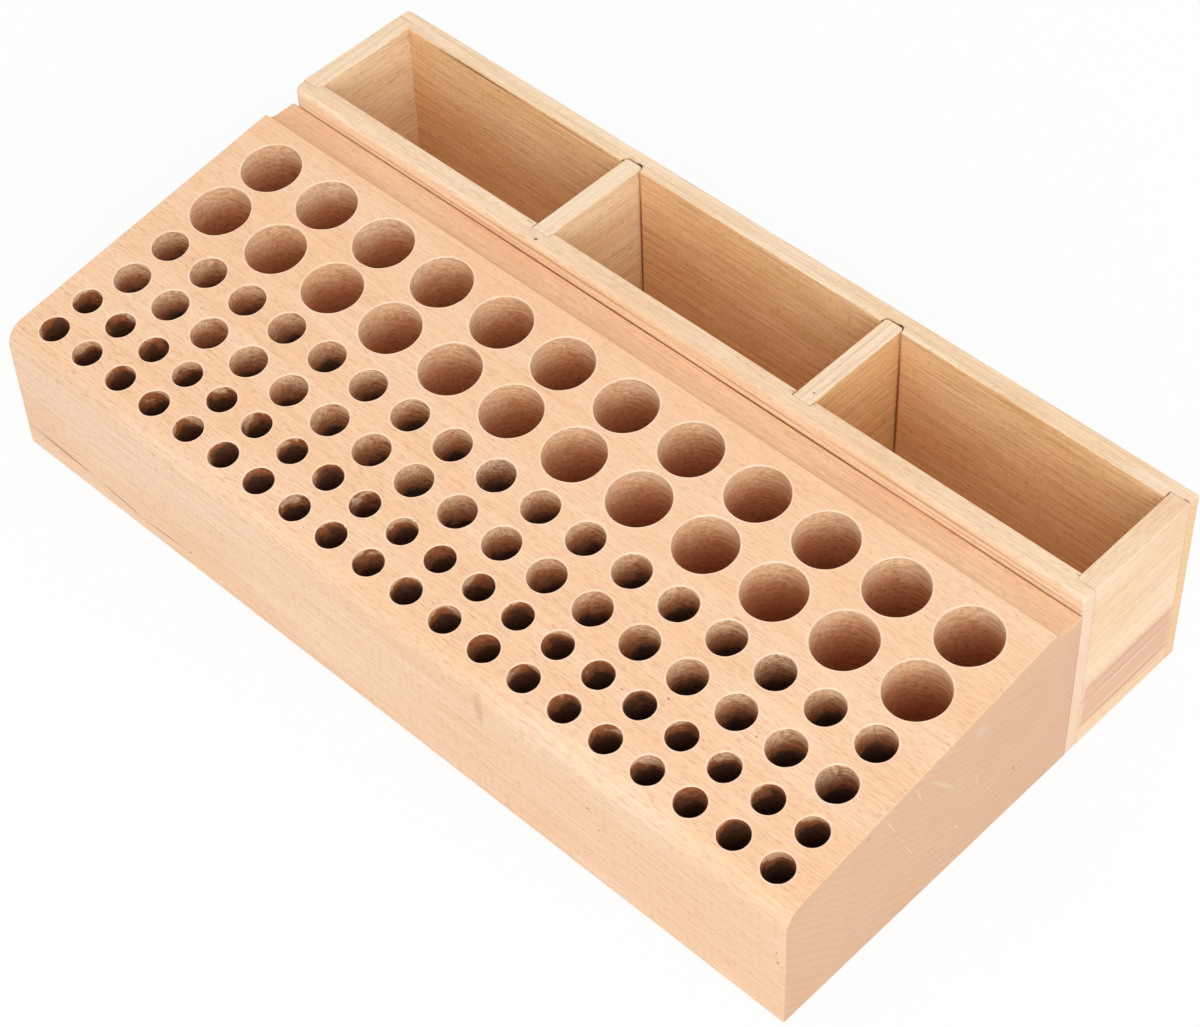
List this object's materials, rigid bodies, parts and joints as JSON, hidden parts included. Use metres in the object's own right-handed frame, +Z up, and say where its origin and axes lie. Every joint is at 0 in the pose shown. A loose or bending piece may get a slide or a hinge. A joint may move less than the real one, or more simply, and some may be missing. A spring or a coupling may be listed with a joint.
{
  "type": "tool storage caddy",
  "caption": "Beech bench rack for hand tools: a block with a slanted top full of round sockets in three sizes, and a divided open tray along the back.",
  "frame": {"origin": "on the bench, under the middle of the whole rack", "axes": "+X along the rack to the right as seen from the front, +Y from the low drilled front to the tray at the back, +Z up"},
  "size_m": [0.25, 0.1364, 0.054],
  "materials": {
    "beech_block": "sanded, bare",
    "beech_boards": "sanded, bare"
  },
  "bodies": {
    "rack": {"block_foot": "beech_block", "small_socket_row_front": "beech_block", "small_socket_row_rear": "beech_block", "medium_socket_row_front": "beech_block", "medium_socket_row_rear": "beech_block", "large_socket_row_front": "beech_block", "large_socket_row_rear": "beech_block", "tray_front_wall": "beech_boards", "tray_rear_wall": "beech_boards", "tray_left_end": "beech_boards", "tray_right_end": "beech_boards", "tray_floor": "beech_boards"},
    "left_divider": {"left_divider": "beech_boards"},
    "right_divider": {"right_divider": "beech_boards"}
  },
  "joints": [
    {"name": "left_divider_lift", "type": "slide", "parent": "rack", "child": "left_divider", "axis": [0, 0, 1], "range_m": [0, 0.06]},
    {"name": "right_divider_lift", "type": "slide", "parent": "rack", "child": "right_divider", "axis": [0, 0, 1], "range_m": [0, 0.06]}
  ]
}
